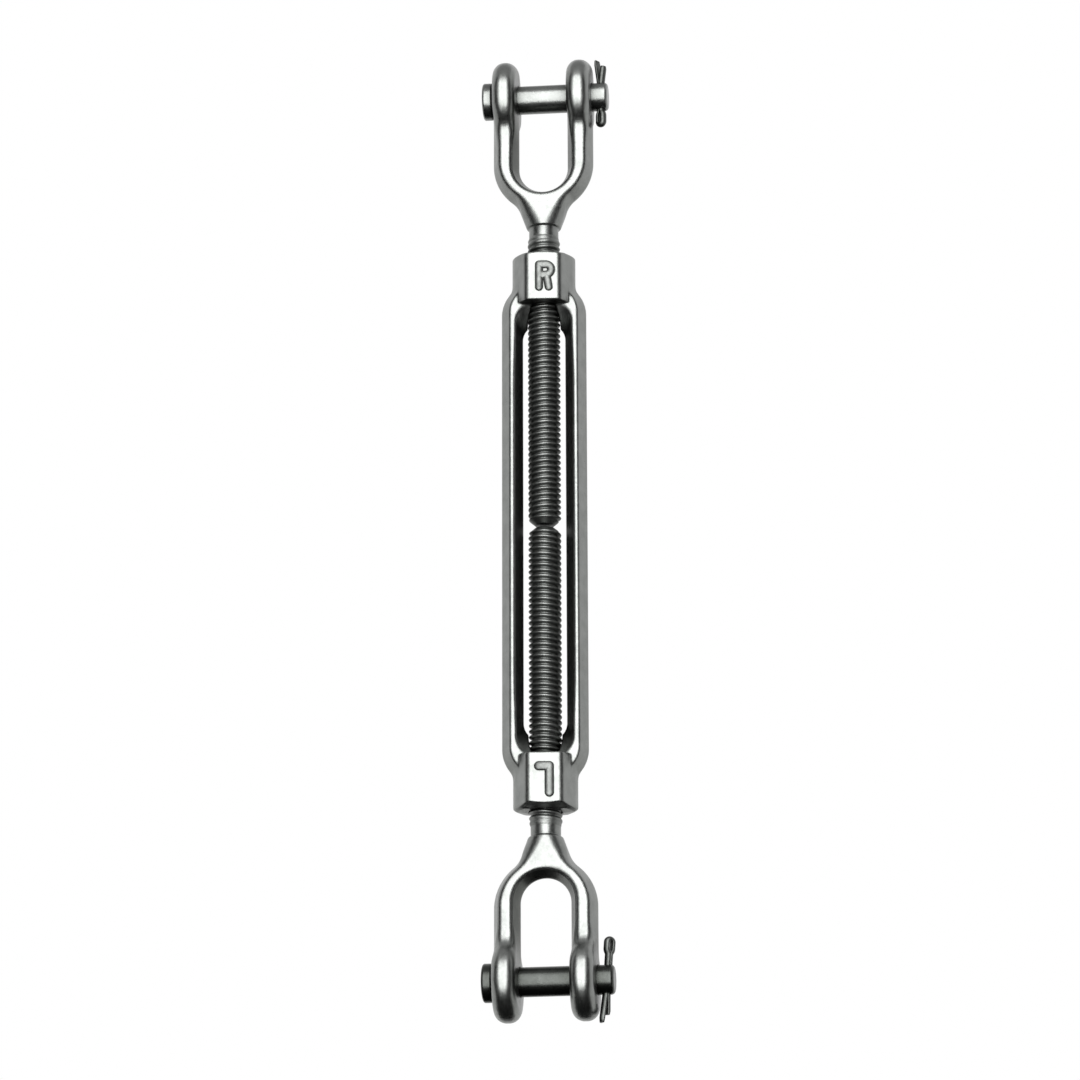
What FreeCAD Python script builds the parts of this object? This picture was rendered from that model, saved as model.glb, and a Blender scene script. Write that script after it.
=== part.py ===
import FreeCAD, Part
import math
import os

import Sketcher

# A forged steel turnbuckle with a clevis jaw at each end, closed up, in millimetres.
# +Z runs along the screw axis from the lower jaw to the upper one.
# The origin is the middle of the lower clevis pin, whose axis is X.

# Driving dimensions

DIMENSIONS = (
    ("take_up", 114.3, "length of the body's opening, between the two bosses"),
    ("boss_height", 14.2, "length of each threaded boss"),
    ("boss_across_flats", 13.6, "hexagon of the boss"),
    ("boss_crown", 2.4, "height of the cone that trims the outer end of the boss"),
    ("boss_crown_foot", 7.0, "radius of that cone at its foot"),
    ("boss_crown_rim", 5.2, "radius of that cone at the end of the boss"),
    ("boss_corner_run", 1.9, "height over which the hexagon's corners are cut, below the cone"),
    ("boss_corner_trim", 0.3, "how much is left off the boss's corners where that cut starts"),
    ("body_width", 20.6, "across both bars of the body"),
    ("bar_width", 5.15, "one bar, in the plane of the opening"),
    ("bar_depth", 7.4, "one bar, from front to back"),
    ("bar_nose", 1.1, "flat along the front and back of a bar"),
    ("parting_land", 0.5, "upright band where the two forging dies met"),
    ("web_width", 14.0, "the frame where it runs into the boss"),
    ("shoulder_radius", 8.6, "both bends of the shoulder between bar and boss"),
    ("shoulder_drop", 4.9, "from the end of the opening to where the bar is straight"),
    ("web_run", 1.2, "straight run of the web inside the boss"),
    ("corner_radius", 4.1, "corners of the opening at the parting land"),
    ("corner_fill", 2.5, "metal left in the ends of the opening at the parting land"),
    ("mouth_radius", 3.0, "corners of the opening at the front and the back"),
    ("thread_diameter", 7.94, "major diameter of both screws"),
    ("thread_clearance", 0.05, "radial play of a screw in its boss"),
    ("bore_countersink", 0.5, "lead-in at the outer end of each bore"),
    ("tip_gap", 0.8, "between the two screw tips when closed"),
    ("tip_chamfer", 1.6, "radial chamfer of a screw tip"),
    ("tip_taper", 1.4, "length of that chamfer"),
    ("pin_reach", 111.0, "half of the distance between the clevis pins, closed"),
    ("body_drop", 0.6, "how far the body stands below the middle between the clevis pins"),
    ("jaw_gap", 12.0, "between the ears of a jaw"),
    ("leg_width", 6.25, "one leg of a jaw, across"),
    ("leg_depth", 8.6, "one leg of a jaw, from front to back"),
    ("crotch_height", 25.6, "from the clevis pin to the bottom of the jaw's U"),
    ("shoulder_inset", 2.1, "centre of the shoulder's curve below the centre of the U"),
    ("shoulder_curve", 12.5, "outer curve of the jaw's shoulder"),
    ("throat_curve", 4.0, "hollow curve between shoulder and neck"),
    ("neck_length", 8.9, "from the bottom of the U to the end of the forged neck"),
    ("neck_width", 8.2, "the forged neck at its end"),
    ("neck_flare", 20.0, "angle of the neck's sides to the axis, in degrees"),
    ("eye_radius", 9.5, "round end of an ear"),
    ("eye_blend", 3.0, "hollow curve between leg and round end"),
    ("forged_round", 2.3, "rounding of the jaw's long edges"),
    ("fork_spare", 1.0, "how far the fork's blank reaches beyond its cuts"),
    ("shank_root", 1.0, "how far the turned shank runs on inside the neck"),
    ("pin_diameter", 7.0, "clevis pin"),
    ("pin_clearance", 0.05, "radial play of the clevis pin in the ears"),
    ("pin_end_play", 0.15, "gap between pin head and ear"),
    ("head_diameter", 9.2, "head of the clevis pin"),
    ("head_thickness", 2.5, "head of the clevis pin"),
    ("head_round", 0.5, "rounding of the head's rim"),
    ("pin_overhang", 3.9, "free end of the pin beyond the ear"),
    ("pin_chamfer", 0.9, "chamfer of the free end"),
    ("cotter_offset", 2.1, "cotter hole's middle beyond the ear"),
    ("cotter_hole", 2.2, "hole through the clevis pin"),
    ("cotter_diameter", 1.9, "both cotter legs together"),
    ("cotter_slit", 0.08, "gap between the two legs"),
    ("eye_width", 2.9, "cotter eye, outside"),
    ("eye_length", 4.4, "cotter eye, outside"),
    ("eye_throat", 1.3, "both bends between the cotter's legs and its eye"),
    ("leg_spread", 9.0, "angle by which each leg end is bent out, in degrees"),
    ("leg_bend", 2.0, "radius of that bend"),
    ("leg_step", 2.0, "how much longer one cotter leg is than the other"),
    ("lower_cotter_rise", 6.7, "from the pin's middle to the foot of the cotter eye"),
    ("lower_cotter_reach", 8.2, "from the pin's middle to the end of the short leg"),
    ("upper_cotter_rise", 3.6, "from the pin's middle to the foot of the cotter eye"),
    ("upper_cotter_reach", 8.0, "from the pin's middle to the end of the short leg"),
    ("upper_cotter_turn", 60.0, "turn of the upper cotter about its own legs, in degrees"),
    ("body_turn", 5.3, "turn of the body about the screw axis, in degrees"),
    ("upper_jaw_turn", 1.5, "turn of the upper jaw about the screw axis, in degrees"),
)

doc = FreeCAD.newDocument("turnbuckle")
sheet = doc.addObject("Spreadsheet::Sheet", "Dimensions")
for row, (alias, value, meaning) in enumerate(DIMENSIONS, start=1):
    sheet.set(f"A{row}", meaning)
    sheet.set(f"B{row}", str(value))
    sheet.setAlias(f"B{row}", alias)
doc.recompute()

SIZE = {alias: float(sheet.get(alias)) for alias, value, meaning in DIMENSIONS}
X_AXIS = FreeCAD.Vector(1, 0, 0)
Z_AXIS = FreeCAD.Vector(0, 0, 1)
NORMAL = FreeCAD.Vector(0, 0, 1)
ORIGIN_POINT = (-1, 1)
START = 1
END = 2
CENTRE = 3
NEAR = 1e-4


# Helpers for sketches and features


def cell(text):
    """Write a formula of cell names as an expression on the sheet."""
    words = []
    for word in text.replace("(", "( ").replace(")", " )").split():
        words.append(f"Dimensions.{word}" if word in SIZE else word)
    return " ".join(words)


def origin_feature(body, role):
    """One of the body's own origin planes or axes."""
    return next(f for f in body.Origin.OriginFeatures if f.Role == role)


def sketch_on(body, role, name, height=None):
    """Start a sketch on one of the body's own planes, at a height worked out from the sheet."""
    sketch = body.newObject("Sketcher::SketchObject", name)
    sketch.AttachmentSupport = [(origin_feature(body, role), "")]
    sketch.MapMode = "FlatFace"
    if height:
        sketch.setExpression("AttachmentOffset.Base.z", cell(height))
    return sketch


def line(sketch, x0, y0, x1, y1):
    """Add a straight edge from one point to another."""
    ends = (FreeCAD.Vector(x0, y0, 0), FreeCAD.Vector(x1, y1, 0))
    return sketch.addGeometry(Part.LineSegment(*ends), False)


def arc(sketch, x, y, radius, first, last, side=1):
    """Add an arc from angle first to angle last, mirrored left to right when side is -1.

    Returns its number and the end that lies at first, then the end that lies at last.
    """
    angles = (first, last) if side > 0 else (180 - first, 180 - last)
    circle = Part.Circle(FreeCAD.Vector(side * x, y, 0), NORMAL, radius)
    shape = Part.ArcOfCircle(circle, math.radians(min(angles)), math.radians(max(angles)))
    number = sketch.addGeometry(shape, False)
    return (number, START, END) if angles[0] < angles[1] else (number, END, START)


def join(sketch, *ends):
    """Make two ends meet in a corner."""
    sketch.addConstraint(Sketcher.Constraint("Coincident", *ends))


def blend(sketch, *ends):
    """Make two ends meet with one tangent."""
    sketch.addConstraint(Sketcher.Constraint("Tangent", *ends))


def amount(item, formula):
    """What a formula of cell names comes to."""
    result = item.evalExpression(cell(formula))
    return float(getattr(result, "Value", result))


def drive(sketch, kind, ends, formula):
    """Add a dimension to a sketch and tie it to the sheet."""
    value = amount(sketch, formula)
    if kind == "Angle":
        value = math.radians(value)
        formula = f"( {formula} ) * 1 deg"
    index = sketch.addConstraint(Sketcher.Constraint(kind, *ends, value))
    sketch.setExpression(f"Constraints[{index}]", cell(formula))


def place_x(sketch, geometry, end, formula):
    """Set how far right of the origin an end lies."""
    drive(sketch, "DistanceX", (*ORIGIN_POINT, geometry, end), formula)


def place_y(sketch, geometry, end, formula):
    """Set how far above the origin an end lies."""
    drive(sketch, "DistanceY", (*ORIGIN_POINT, geometry, end), formula)


def upright(sketch, geometry):
    sketch.addConstraint(Sketcher.Constraint("Vertical", geometry))


def level(sketch, geometry):
    sketch.addConstraint(Sketcher.Constraint("Horizontal", geometry))


def circle_on(body, role, name, diameter, x=None):
    """A circle on one of the body's planes, on its origin unless x is given."""
    sketch = sketch_on(body, role, name)
    centre = FreeCAD.Vector(amount(sketch, x) if x else 0, 0, 0)
    ring = sketch.addGeometry(Part.Circle(centre, NORMAL, amount(sketch, diameter) / 2), False)
    place_x(sketch, ring, CENTRE, x or "0")
    place_y(sketch, ring, CENTRE, "0")
    drive(sketch, "Diameter", (ring,), diameter)
    return sketch


def feature(body, kind, name, profile):
    """Add a feature made from a sketch to a body."""
    made = body.newObject(f"PartDesign::{kind}", name)
    made.Profile = profile
    return made


def tie(made, **formulas):
    """Tie a feature's sizes to the sheet."""
    for size, formula in formulas.items():
        made.setExpression(size, cell(formula))


def through_all(body, name, profile):
    """Cut a profile right through, both ways from its plane."""
    cut = feature(body, "Pocket", name, profile)
    cut.Type = "ThroughAll"
    cut.Midplane = True
    return cut


def edges_where(shape, wanted):
    """Names of the edges that pass a test."""
    return [f"Edge{n}" for n, edge in enumerate(shape.Edges, start=1) if wanted(edge)]


def is_circle(edge):
    return isinstance(edge.Curve, Part.Circle)


def new_body(label):
    body = doc.addObject("PartDesign::Body", label)
    body.Label = label
    return body


# The forged body: two bars, drafted from the parting land, and a hexagonal boss at each end

HALF_OPENING = "( body_width / 2 - bar_width )"
FLANK_RUN = "( ( bar_width - bar_nose ) / 2 )"
FLANK_RISE = "( ( bar_depth - parting_land ) / 2 )"
CORNER_SHARE = 0.9
CORNER = f"min( corner_radius ; {CORNER_SHARE} * {HALF_OPENING} )"
STRAIGHT_END = "( take_up / 2 - shoulder_drop )"
BENDS_ACROSS = "( 2 * shoulder_radius - ( body_width - web_width ) / 2 )"
BENDS_RISE = f"sqrt( 4 * shoulder_radius ^ 2 - {BENDS_ACROSS} ^ 2 )"
WEB_END = f"{STRAIGHT_END} + {BENDS_RISE} + web_run"


def frame_outline(body, name, height=None):
    """Outer outline of bars and webs."""
    sketch = sketch_on(body, "XZ_Plane", name, height)
    half_bar = SIZE["body_width"] / 2
    half_web = SIZE["web_width"] / 2
    radius = SIZE["shoulder_radius"]
    straight = amount(sketch, STRAIGHT_END)
    web_end = amount(sketch, WEB_END)
    rise = amount(sketch, BENDS_RISE)
    turn = math.degrees(math.atan2(rise, amount(sketch, BENDS_ACROSS)))
    webs = {}
    for side in (1, -1):
        bar = line(sketch, side * half_bar, -straight, side * half_bar, straight)
        upright(sketch, bar)
        place_x(sketch, bar, START, f"{side} * body_width / 2")
        for way, bar_end in ((1, END), (-1, START)):
            bend, bar_side, web_side = arc(
                sketch, half_bar - radius, way * straight, radius, 0, way * turn, side
            )
            hollow, far, near = arc(
                sketch, half_web + radius, way * (straight + rise), radius,
                180, 180 + way * turn, side,
            )
            x = side * half_web
            webs[side, way] = line(sketch, x, way * (straight + rise), x, way * web_end)
            upright(sketch, webs[side, way])
            blend(sketch, bar, bar_end, bend, bar_side)
            blend(sketch, bend, web_side, hollow, near)
            blend(sketch, hollow, far, webs[side, way], START)
            drive(sketch, "Radius", (bend,), "shoulder_radius")
            drive(sketch, "Radius", (hollow,), "shoulder_radius")
            place_y(sketch, bend, bar_side, f"{way} * {STRAIGHT_END}")
            place_x(sketch, webs[side, way], END, f"{side} * web_width / 2")
    for way in (1, -1):
        cap = line(sketch, half_web, way * web_end, -half_web, way * web_end)
        join(sketch, webs[1, way], END, cap, START)
        join(sketch, cap, END, webs[-1, way], END)
        level(sketch, cap)
        place_y(sketch, cap, START, f"{way} * ( {WEB_END} )")
    return sketch


def opening_outline(body, name, height, half_width, half_length, radius):
    """Outline of the opening between the bars, at one depth."""
    sketch = sketch_on(body, "XZ_Plane", name, height)
    wide = amount(sketch, half_width)
    long = amount(sketch, half_length)
    bend = amount(sketch, radius)
    right = line(sketch, wide, bend - long, wide, long - bend)
    top = line(sketch, wide - bend, long, bend - wide, long)
    left = line(sketch, -wide, long - bend, -wide, bend - long)
    bottom = line(sketch, bend - wide, -long, wide - bend, -long)
    corners = (
        (right, top, 1, 1, 0),
        (top, left, -1, 1, 90),
        (left, bottom, -1, -1, 180),
        (bottom, right, 1, -1, 270),
    )
    for before, after, across, along, first in corners:
        x = across * (wide - bend)
        y = along * (long - bend)
        corner, entry, leave = arc(sketch, x, y, bend, first, first + 90)
        blend(sketch, before, END, corner, entry)
        blend(sketch, corner, leave, after, START)
        drive(sketch, "Radius", (corner,), radius)
    for side, edge in ((1, right), (-1, left)):
        upright(sketch, edge)
        place_x(sketch, edge, START, f"{side} * {half_width}")
    for way, edge in ((1, top), (-1, bottom)):
        level(sketch, edge)
        place_y(sketch, edge, START, f"{way} * {half_length}")
    return sketch


def hexagon(body, name, height, across_flats):
    """A hexagon square to the screw axis, with flats at front and back."""
    sketch = sketch_on(body, "XY_Plane", name, height)
    corner = amount(sketch, across_flats) / 2 / math.cos(math.radians(30))
    points = []
    for n in range(6):
        turn = math.radians(60 * n)
        points.append((corner * math.cos(turn), corner * math.sin(turn)))
    sides = [line(sketch, *points[n], *points[(n + 1) % 6]) for n in range(6)]
    rim = sketch.addGeometry(Part.Circle(FreeCAD.Vector(0, 0, 0), NORMAL, corner), True)
    join(sketch, rim, CENTRE, *ORIGIN_POINT)
    for n in range(6):
        join(sketch, sides[n], END, sides[(n + 1) % 6], START)
        sketch.addConstraint(Sketcher.Constraint("PointOnObject", sides[n], START, rim))
        if n:
            sketch.addConstraint(Sketcher.Constraint("Equal", sides[0], sides[n]))
    level(sketch, sides[1])
    place_y(sketch, sides[1], START, f"{across_flats} / 2")
    return sketch


def turnbuckle_body():
    """One forging: bars and webs with draft from the dies, bosses, and the two bores in line."""
    body = new_body("turnbuckle_body")
    band = feature(body, "Pad", "parting_band", frame_outline(body, "band_outline"))
    band.Midplane = True
    tie(band, Length="parting_land")
    for side, face in ((1, "front"), (-1, "back")):
        outline = frame_outline(body, f"{face}_flank_outline", f"{side} * parting_land / 2")
        flank = feature(body, "Pad", f"{face}_flank", outline)
        flank.Reversed = side < 0
        tie(flank, Length=FLANK_RISE, TaperAngle=f"-1 * atan( {FLANK_RUN} / {FLANK_RISE} )")

    inner_length = "( take_up / 2 - corner_fill )"
    slot = opening_outline(body, "slot_outline", None, HALF_OPENING, inner_length, CORNER)
    through_all(body, "slot", slot)
    for side, face in ((1, "front"), (-1, "back")):
        inner = opening_outline(
            body, f"{face}_slot_outline", f"{side} * parting_land / 2",
            HALF_OPENING, inner_length, CORNER,
        )
        outer = opening_outline(
            body, f"{face}_mouth_outline", f"{side} * bar_depth / 2",
            f"( {HALF_OPENING} + {FLANK_RUN} )", "( take_up / 2 )", "mouth_radius",
        )
        mouth = feature(body, "SubtractiveLoft", f"{face}_mouth", inner)
        mouth.Sections = [outer]
        mouth.Ruled = True

    boss = feature(
        body, "Pad", "boss", hexagon(body, "boss_outline", "take_up / 2", "boss_across_flats")
    )
    tie(boss, Length="boss_height")
    boss_end = "( take_up / 2 + boss_height )"
    corner = "( boss_across_flats / 2 / cos( 30 deg ) )"
    trim_profile = profile(
        sketch_on(body, "XZ_Plane", "boss_trim_profile"),
        (
            (f"{corner} + fork_spare", f"{boss_end} + fork_spare"),
            ("boss_crown_rim", f"{boss_end} + fork_spare"),
            ("boss_crown_rim", boss_end),
            ("boss_crown_foot", f"{boss_end} - boss_crown"),
            (f"{corner} - boss_corner_trim", f"{boss_end} - boss_crown - boss_corner_run"),
            (f"{corner} + fork_spare", f"{boss_end} - boss_crown - boss_corner_run"),
        ),
    )
    trim = feature(body, "Groove", "boss_trim", trim_profile)
    trim.ReferenceAxis = (trim_profile, ["V_Axis"])
    trim.Angle = 360
    other_end = body.newObject("PartDesign::Mirrored", "second_boss")
    other_end.Originals = [boss, trim]
    other_end.MirrorPlane = (origin_feature(body, "XY_Plane"), [""])
    body.Tip = other_end

    bore_size = "( thread_diameter + 2 * thread_clearance )"
    bore = through_all(body, "bores", circle_on(body, "XY_Plane", "bore_circle", bore_size))
    doc.recompute()
    mouth_height = SIZE["take_up"] / 2 + SIZE["boss_height"]
    rims = edges_where(
        bore.Shape,
        lambda edge: is_circle(edge) and abs(abs(edge.CenterOfMass.z) - mouth_height) < NEAR,
    )
    lead_in = body.newObject("PartDesign::Chamfer", "bore_lead_in")
    lead_in.Base = (bore, rims)
    tie(lead_in, Size="bore_countersink")
    return body


# The jaws: a forged fork on a screwed shank, with the clevis pin's axis through the origin

HALF_JAW = "( jaw_gap / 2 + leg_width )"
PIN_BORE = "( pin_diameter + 2 * pin_clearance )"
SHOULDER_HEIGHT = "( crotch_height - jaw_gap / 2 - shoulder_inset )"
NECK_HEIGHT = "( crotch_height + neck_length )"
ROUND_SHARE = 0.49


def fork_outline(body):
    """Front view of the fork: neck, throat, shoulders, and the two legs round the U.

    Its measured span from the U's centre to the throat's gives the thinnest wall.
    """
    sketch = sketch_on(body, "XZ_Plane", "fork_outline")
    half_jaw = SIZE["jaw_gap"] / 2 + SIZE["leg_width"]
    half_gap = SIZE["jaw_gap"] / 2
    half_neck = SIZE["neck_width"] / 2
    shoulder = SIZE["shoulder_curve"]
    throat = SIZE["throat_curve"]
    flare = math.radians(SIZE["neck_flare"])
    neck_top = amount(sketch, NECK_HEIGHT)
    leg_top = amount(sketch, SHOULDER_HEIGHT)
    leg_foot = -SIZE["eye_radius"] - SIZE["fork_spare"]
    bend_height = SIZE["crotch_height"] - half_gap

    # The throat's centre lies its radius off the neck's side and touches the shoulder's curve
    run_x = half_neck + throat * math.cos(flare) - (half_jaw - shoulder)
    run_y = neck_top + throat * math.sin(flare) - leg_top
    half_sum = run_y * math.cos(flare) - run_x * math.sin(flare)
    spare = run_x**2 + run_y**2 - (shoulder + throat) ** 2
    slope = half_sum - math.sqrt(half_sum**2 - spare)
    reach_x = run_x + slope * math.sin(flare)
    reach_y = run_y - slope * math.cos(flare)
    meet = math.degrees(math.atan2(reach_y, reach_x))

    crotch = arc(sketch, 0, bend_height, half_gap, 0, 180)[0]
    place_y(sketch, crotch, CENTRE, "crotch_height - jaw_gap / 2")
    necks = []
    for side, crotch_end in ((1, START), (-1, END)):
        outer = line(sketch, side * half_jaw, leg_foot, side * half_jaw, leg_top)
        inner = line(sketch, side * half_gap, leg_foot, side * half_gap, bend_height)
        foot = line(sketch, side * half_gap, leg_foot, side * half_jaw, leg_foot)
        bend, leg_end, throat_end = arc(
            sketch, half_jaw - shoulder, leg_top, shoulder, 0, meet, side
        )
        hollow, neck_end, bend_end = arc(
            sketch, half_jaw - shoulder + reach_x, leg_top + reach_y, throat,
            180 + SIZE["neck_flare"], 180 + meet, side,
        )
        low_x = half_neck + slope * math.sin(flare)
        low_y = neck_top - slope * math.cos(flare)
        neck = line(sketch, side * low_x, low_y, side * half_neck, neck_top)
        necks.append(neck)
        upright(sketch, outer)
        upright(sketch, inner)
        level(sketch, foot)
        join(sketch, inner, START, foot, START)
        join(sketch, foot, END, outer, START)
        blend(sketch, inner, END, crotch, crotch_end)
        blend(sketch, outer, END, bend, leg_end)
        blend(sketch, bend, throat_end, hollow, bend_end)
        blend(sketch, hollow, neck_end, neck, START)
        place_x(sketch, outer, START, f"{side} * {HALF_JAW}")
        place_x(sketch, inner, START, f"{side} * jaw_gap / 2")
        place_y(sketch, foot, START, "-1 * eye_radius - fork_spare")
        place_y(sketch, bend, leg_end, SHOULDER_HEIGHT)
        drive(sketch, "Radius", (bend,), "shoulder_curve")
        drive(sketch, "Radius", (hollow,), "throat_curve")
        drive(sketch, "Angle", (neck,), f"90 + {side} * neck_flare")
        place_x(sketch, neck, END, f"{side} * neck_width / 2")
        place_y(sketch, neck, END, NECK_HEIGHT)
    cap = line(sketch, half_neck, neck_top, -half_neck, neck_top)
    join(sketch, necks[0], END, cap, START)
    join(sketch, cap, END, necks[1], END)
    span = sketch.addConstraint(
        Sketcher.Constraint("Distance", crotch, CENTRE, hollow, CENTRE, half_jaw)
    )
    sketch.setDriving(span, False)
    sketch.renameConstraint(span, "throat_span")
    return sketch


def side_relief_outline(body):
    """Side view of what is cut away from the fork, round the legs and their round ends."""
    sketch = sketch_on(body, "YZ_Plane", "side_relief_outline")
    half_leg = SIZE["leg_depth"] / 2
    eye = SIZE["eye_radius"]
    hollow_radius = SIZE["eye_blend"]
    wide = eye + SIZE["fork_spare"]
    top = amount(sketch, f"{NECK_HEIGHT} + fork_spare")
    low = -eye - 2 * SIZE["fork_spare"]
    reach = math.sqrt((eye + hollow_radius) ** 2 - (half_leg + hollow_radius) ** 2)
    meet = math.degrees(math.atan2(reach, half_leg + hollow_radius))
    ring = arc(sketch, 0, 0, eye, 180 - meet, 360 + meet)[0]
    join(sketch, ring, CENTRE, *ORIGIN_POINT)
    drive(sketch, "Radius", (ring,), "eye_radius")
    base = line(sketch, -wide, low, wide, low)
    level(sketch, base)
    place_x(sketch, base, START, "-1 * eye_radius - fork_spare")
    place_x(sketch, base, END, "eye_radius + fork_spare")
    place_y(sketch, base, START, "-1 * eye_radius - 2 * fork_spare")
    for side, ring_end, base_end in ((1, END, END), (-1, START, START)):
        hollow, leg_end, eye_end = arc(
            sketch, half_leg + hollow_radius, reach, hollow_radius, 180, 180 + meet, side
        )
        leg = line(sketch, side * half_leg, reach, side * half_leg, top)
        lid = line(sketch, side * half_leg, top, side * wide, top)
        wall = line(sketch, side * wide, top, side * wide, low)
        upright(sketch, leg)
        level(sketch, lid)
        upright(sketch, wall)
        blend(sketch, ring, ring_end, hollow, eye_end)
        blend(sketch, hollow, leg_end, leg, START)
        join(sketch, leg, END, lid, START)
        join(sketch, lid, END, wall, START)
        join(sketch, wall, END, base, base_end)
        drive(sketch, "Radius", (hollow,), "eye_blend")
        place_x(sketch, leg, START, f"{side} * leg_depth / 2")
        place_y(sketch, lid, START, f"{NECK_HEIGHT} + fork_spare")
    return sketch


def profile(sketch, points):
    """A closed run of straight edges through points given as pairs of formulas."""
    places = [(amount(sketch, x), amount(sketch, y)) for x, y in points]
    edges = [line(sketch, *places[n - 1], *places[n]) for n in range(len(places))]
    for n, (x, y) in enumerate(points):
        join(sketch, edges[n], END, edges[(n + 1) % len(points)], START)
        place_x(sketch, edges[n], END, x)
        place_y(sketch, edges[n], END, y)
    return sketch


def jaw(label):
    """One forging: fork, neck and screwed shank, with the bore for the clevis pin."""
    body = new_body(label)
    outline = fork_outline(body)
    fork = feature(body, "Pad", f"{label}_fork", outline)
    fork.Midplane = True
    tie(fork, Length="2 * eye_radius + 2 * fork_spare")
    relief = through_all(body, f"{label}_relief", side_relief_outline(body))
    doc.recompute()
    rounding = body.newObject("PartDesign::Fillet", f"{label}_rounding")
    rounding.Base = (relief, edges_where(relief.Shape, is_long_edge))
    throat_wall = f"{outline.Name}.Constraints.throat_span / 1 mm - jaw_gap / 2 - throat_curve"
    thinnest = f"min( leg_width ; leg_depth ; neck_width ; {throat_wall} )"
    tie(rounding, Radius=f"min( forged_round ; {ROUND_SHARE} * {thinnest} )")

    foot = f"{NECK_HEIGHT} - shank_root"
    tip = "pin_reach - tip_gap / 2"
    shank_profile = profile(
        sketch_on(body, "XZ_Plane", f"{label}_shank_profile"),
        (
            ("0", foot),
            ("thread_diameter / 2", foot),
            ("thread_diameter / 2", f"{tip} - tip_taper"),
            ("thread_diameter / 2 - tip_chamfer", tip),
            ("0", tip),
        ),
    )
    shank = feature(body, "Revolution", f"{label}_shank", shank_profile)
    shank.ReferenceAxis = (shank_profile, ["V_Axis"])
    shank.Angle = 360
    through_all(body, f"{label}_pin_bore", circle_on(body, "YZ_Plane", f"{label}_bore", PIN_BORE))
    return body


def is_long_edge(edge):
    """True for an edge that runs along the fork's outline or round an ear."""
    half_leg = SIZE["leg_depth"] / 2
    half_gap = SIZE["jaw_gap"] / 2
    neck_top = SIZE["crotch_height"] + SIZE["neck_length"]
    faces_x = (half_gap, half_gap + SIZE["leg_width"])
    points = edge.discretize(5)
    if all(abs(p.z - neck_top) < NEAR for p in points):
        return False
    along = points[-1] - points[0]
    straight = abs(along.Length - edge.Length) < NEAR
    on_front = all(abs(abs(p.y) - half_leg) < NEAR for p in points)
    on_side = any(all(abs(abs(p.x) - x) < NEAR for p in points) for x in faces_x)
    if straight and abs(abs(along.x) - edge.Length) < NEAR:
        return False
    if straight and abs(abs(along.y) - edge.Length) < NEAR:
        return False
    return on_front or on_side


# The clevis pins, each with a head on the -X side and a hole for its cotter


def clevis_pin(label):
    """A turned pin, headed at one end and chamfered at the other."""
    body = new_body(label)
    seat = f"-1 * {HALF_JAW} - pin_end_play"
    end = f"{HALF_JAW} + pin_overhang"
    outline = profile(
        sketch_on(body, "XZ_Plane", f"{label}_profile"),
        (
            (f"{seat} - head_thickness", "0"),
            (f"{seat} - head_thickness", "head_diameter / 2"),
            (seat, "head_diameter / 2"),
            (seat, "pin_diameter / 2"),
            (f"{end} - pin_chamfer", "pin_diameter / 2"),
            (end, "pin_diameter / 2 - pin_chamfer"),
            (end, "0"),
        ),
    )
    turned = feature(body, "Revolution", f"{label}_turned", outline)
    turned.ReferenceAxis = (outline, ["H_Axis"])
    turned.Angle = 360
    doc.recompute()
    head_radius = SIZE["head_diameter"] / 2
    rims = edges_where(
        turned.Shape, lambda edge: is_circle(edge) and abs(edge.Curve.Radius - head_radius) < NEAR
    )
    rounding = body.newObject("PartDesign::Fillet", f"{label}_head_round")
    rounding.Base = (turned, rims)
    tie(rounding, Radius="head_round")
    hole = circle_on(
        body, "XY_Plane", f"{label}_hole", "cotter_hole", x=f"{HALF_JAW} + cotter_offset"
    )
    through_all(body, f"{label}_cotter_hole", hole)
    return body


# The cotters: half-round wire, flat side inwards, bent round into an eye and two legs


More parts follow.
